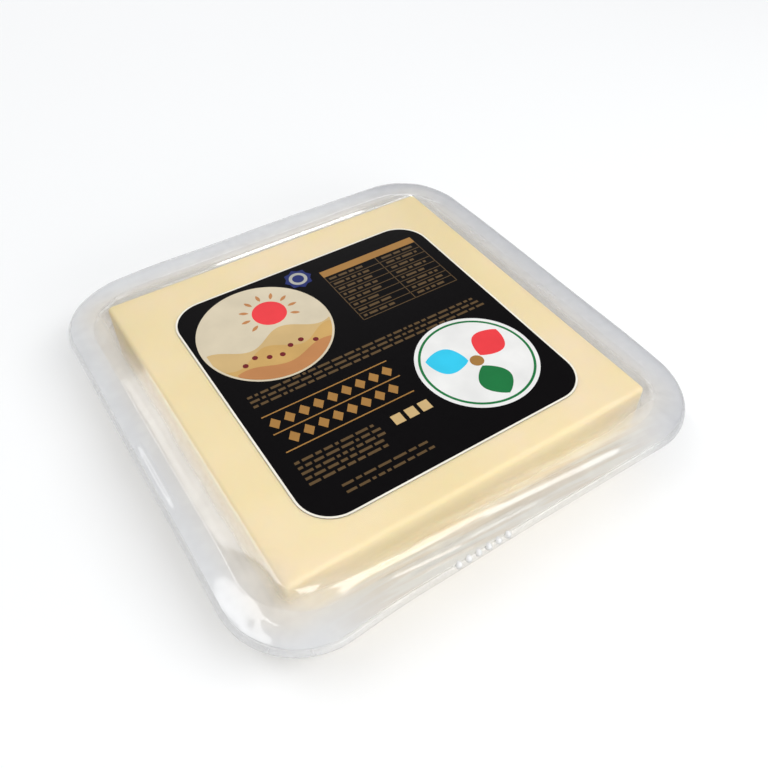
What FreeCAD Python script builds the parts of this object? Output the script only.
"""A square block of cheese sealed in a clear formed tray, under a clear lid film with a label.

Lengths are in millimetres. +X is the label's reading direction, +Y is its top, and +Z is up.
The origin is the middle of the tray's underside.
"""

import FreeCAD, Part
import math
import os

# The cheese.
CHEESE_LENGTH = 120.0  # along X
CHEESE_DEPTH = 120.0  # along Y
CHEESE_HEIGHT = 22.5
CHEESE_EDGE_RADIUS = 1.5

# The formed tray: a pocket round the cheese, with a flange round its rim.
SHEET = 0.5  # the tray's wall
BASE_GAP = 1.5  # from the cheese's side to the wall, at the base
RIM_GAP = 6.5  # the same, at the rim
BASE_CORNER_GAP = 1.09  # from the cheese's upright edge to the wall's round corner, at the base
RIM_CORNER_GAP = 2.36  # the same, at the rim
BASE_MARGIN = 0.5  # how far the flat base runs on past the cheese's flat underside
FLANGE_DROP = 2.5  # from the cheese's top down to the flange's top
FLANGE_WIDTH_X = 8.5  # the flange on the left and right
FLANGE_WIDTH_Y = 10.0  # the flange at the front and back
FLANGE_CORNER_RADIUS = 24.0
RIM_BEND = 1.2  # inside radius of the bend from the wall to the flange

# The step in the wall that keeps stacked trays apart.
STEP_DEPTH = 6.0  # from the flange's top down to the step
STEP_WIDTH = 1.4
STEP_RISE = 0.5

# The flange's outer edge slopes down as a lip.
LIP_DROP = 1.6
LIP_RUN = 1.2

# Small grip ribs in a row on the front lip.
RIB_COUNT = 6
RIB_PITCH = 3.1
RIB_RADIUS = 0.9
RIB_FIRST_X = -20.0
RIB_TOP_GAP = 0.25  # from the flange's top down to the ribs' tops
RIB_INSET = 0.15  # from the lip's outer edge in to the ribs

# The lid film, which lies on the cheese and slopes down to the flange.
FILM = 0.2
FILM_SHOULDER = 0.5  # how far inside the cheese's side the slope starts
FILM_CORNER_RADIUS = 1.0

# The label on the film.
LABEL_LENGTH = 94.0  # along X
LABEL_DEPTH = 96.0  # along Y
LABEL_THICKNESS = 0.2
LABEL_CORNER_RADIUS = 11.0
LABEL_OFFSET_X = 1.0
LABEL_OFFSET_Y = -2.5

# Steps in the stack of outlines that makes each bend.
BEND_STEPS = 4

# Worked out from the sizes above.
HALF_X = CHEESE_LENGTH / 2
HALF_Y = CHEESE_DEPTH / 2
CHEESE_BASE_Z = SHEET
CHEESE_TOP_Z = CHEESE_BASE_Z + CHEESE_HEIGHT
FLANGE_Z = CHEESE_TOP_Z - FLANGE_DROP
STEP_Z = FLANGE_Z - STEP_DEPTH
BASE_BEND = CHEESE_EDGE_RADIUS + BASE_GAP - BASE_MARGIN
FLANGE_GAP_X = RIM_GAP + FLANGE_WIDTH_X
FLANGE_GAP_Y = RIM_GAP + FLANGE_WIDTH_Y


def corner_radius(gap, corner_gap):
    """The wall's corner radius that leaves corner_gap outside the cheese's rounded upright edge."""
    diagonal = math.sqrt(2)
    return CHEESE_EDGE_RADIUS + (gap * diagonal - corner_gap) / (diagonal - 1)


BASE_CORNER_RADIUS = corner_radius(BASE_GAP, BASE_CORNER_GAP)
RIM_CORNER_RADIUS = corner_radius(RIM_GAP, RIM_CORNER_GAP)


def outline(gap_x, gap_y, radius, z):
    """A rounded rectangle at height z whose sides lie outside the cheese's by the two gaps."""
    x = HALF_X + gap_x
    y = HALF_Y + gap_y
    corners = [(1, 1), (-1, 1), (-1, -1), (1, -1)]
    arcs = []
    for quarter, (sign_x, sign_y) in enumerate(corners):
        centre = FreeCAD.Vector(sign_x * (x - radius), sign_y * (y - radius), z)
        points = []
        for part in range(3):
            angle = math.radians(90 * quarter + 45 * part)
            points.append(centre + FreeCAD.Vector(math.cos(angle), math.sin(angle), 0) * radius)
        arcs.append(Part.Arc(*points).toShape())
    edges = []
    for number, arc in enumerate(arcs):
        following = arcs[(number + 1) % len(arcs)]
        edges.append(arc)
        edges.append(Part.makeLine(arc.Vertexes[-1].Point, following.Vertexes[0].Point))
    return Part.Wire(edges)


def stack(outlines):
    """A solid with straight sides between outlines, given as (gap_x, gap_y, radius, z)."""
    return Part.makeLoft([outline(*one) for one in outlines], True, True)


def blend(low, high, share):
    return low + (high - low) * share


def wall_station(z):
    """The wall's gap and corner radius at height z, on the straight line from base to rim."""
    share = (z - CHEESE_BASE_Z) / (FLANGE_Z - CHEESE_BASE_Z)
    gap = blend(BASE_GAP, RIM_GAP - STEP_WIDTH, share)
    radius = blend(BASE_CORNER_RADIUS, RIM_CORNER_RADIUS - STEP_WIDTH, share)
    return gap, radius


def base_bend_stations():
    """The rounded turn from the base up into the wall."""
    stations = []
    for number in range(BEND_STEPS + 1):
        angle = math.radians(90 * number / BEND_STEPS)
        inward = BASE_BEND * (1 - math.sin(angle))
        z = CHEESE_BASE_Z + BASE_BEND * (1 - math.cos(angle))
        gap, radius = wall_station(z)
        stations.append((gap - inward, radius - inward, z))
    return stations


def rim_bend_stations():
    """The rounded turn from the wall out onto the flange."""
    stations = []
    for number in range(BEND_STEPS + 1):
        angle = math.radians(90 * number / BEND_STEPS)
        outward = RIM_BEND * (1 - math.cos(angle))
        z = FLANGE_Z - RIM_BEND * (1 - math.sin(angle))
        stations.append((RIM_GAP + outward, RIM_CORNER_RADIUS + outward, z))
    return stations


def pocket_stations():
    """The pocket's inside, from the base to the flange."""
    gap, radius = wall_station(STEP_Z)
    step = [
        (gap, radius, STEP_Z),
        (gap + STEP_WIDTH, radius + STEP_WIDTH, STEP_Z + STEP_RISE),
    ]
    return base_bend_stations() + step + rim_bend_stations()


def pocket(thickness):
    """The pocket's inside as a solid, or its outside when given the sheet's thickness."""
    outlines = []
    for gap, radius, z in pocket_stations():
        grown = gap + thickness
        outlines.append((grown, grown, radius + thickness, z - thickness))
    return stack(outlines)


def lip_cap(thickness):
    """What lies under the flange and its lip, shrunk and lowered by the thickness."""
    low_x = FLANGE_GAP_X - thickness
    low_y = FLANGE_GAP_Y - thickness
    radius = FLANGE_CORNER_RADIUS - thickness
    return stack([
        (low_x, low_y, radius, FLANGE_Z - LIP_DROP),
        (low_x - LIP_RUN, low_y - LIP_RUN, radius - LIP_RUN, FLANGE_Z - thickness),
    ])


def grip_rib(number):
    """One upright round rib that stands out of the lip's slope, just inside its outer edge."""
    x = RIB_FIRST_X + RIB_PITCH * number
    y = -(HALF_Y + FLANGE_GAP_Y - RIB_INSET - RIB_RADIUS)
    base = FreeCAD.Vector(x, y, FLANGE_Z - LIP_DROP)
    return Part.makeCylinder(RIB_RADIUS, LIP_DROP - RIB_TOP_GAP, base)


def tray():
    flange = lip_cap(0.0).cut(lip_cap(SHEET))
    ribs = [grip_rib(number) for number in range(RIB_COUNT)]
    body = flange.fuse([pocket(SHEET)] + ribs)
    return body.cut(pocket(0.0)).removeSplitter()


def cheese_block():
    corner = FreeCAD.Vector(-HALF_X, -HALF_Y, CHEESE_BASE_Z)
    block = Part.makeBox(CHEESE_LENGTH, CHEESE_DEPTH, CHEESE_HEIGHT, corner)
    return block.makeFillet(CHEESE_EDGE_RADIUS, block.Edges)


def under_film(lift):
    """The space under the film's slope, raised by lift."""
    rim_gap = RIM_GAP + RIM_BEND
    rim_radius = RIM_CORNER_RADIUS + RIM_BEND
    return stack([
        (rim_gap, rim_gap, rim_radius, FLANGE_Z + lift),
        (-FILM_SHOULDER, -FILM_SHOULDER, FILM_CORNER_RADIUS, CHEESE_TOP_Z + lift),
    ])


def lid_film():
    edge_x = FLANGE_GAP_X - LIP_RUN
    edge_y = FLANGE_GAP_Y - LIP_RUN
    radius = FLANGE_CORNER_RADIUS - LIP_RUN
    border = stack([
        (edge_x, edge_y, radius, FLANGE_Z),
        (edge_x, edge_y, radius, FLANGE_Z + FILM),
    ])
    return border.fuse(under_film(FILM)).cut(under_film(0.0)).removeSplitter()


def label():
    gap_x = LABEL_LENGTH / 2 - HALF_X
    gap_y = LABEL_DEPTH / 2 - HALF_Y
    low = CHEESE_TOP_Z + FILM
    plate = stack([
        (gap_x, gap_y, LABEL_CORNER_RADIUS, low),
        (gap_x, gap_y, LABEL_CORNER_RADIUS, low + LABEL_THICKNESS),
    ])
    return plate.translated(FreeCAD.Vector(LABEL_OFFSET_X, LABEL_OFFSET_Y, 0))


def main():
    nodes = {
        "cheese_block": cheese_block(),
        "tray": tray(),
        "lid_film": lid_film(),
        "label": label(),
    }
    os.makedirs("parts", exist_ok=True)
    for name, shape in nodes.items():
        shape.exportStep(f"parts/{name}.step")
        print(name, "solids", len(shape.Solids), "valid", shape.isValid(), "mm3", round(shape.Volume, 1))


main()
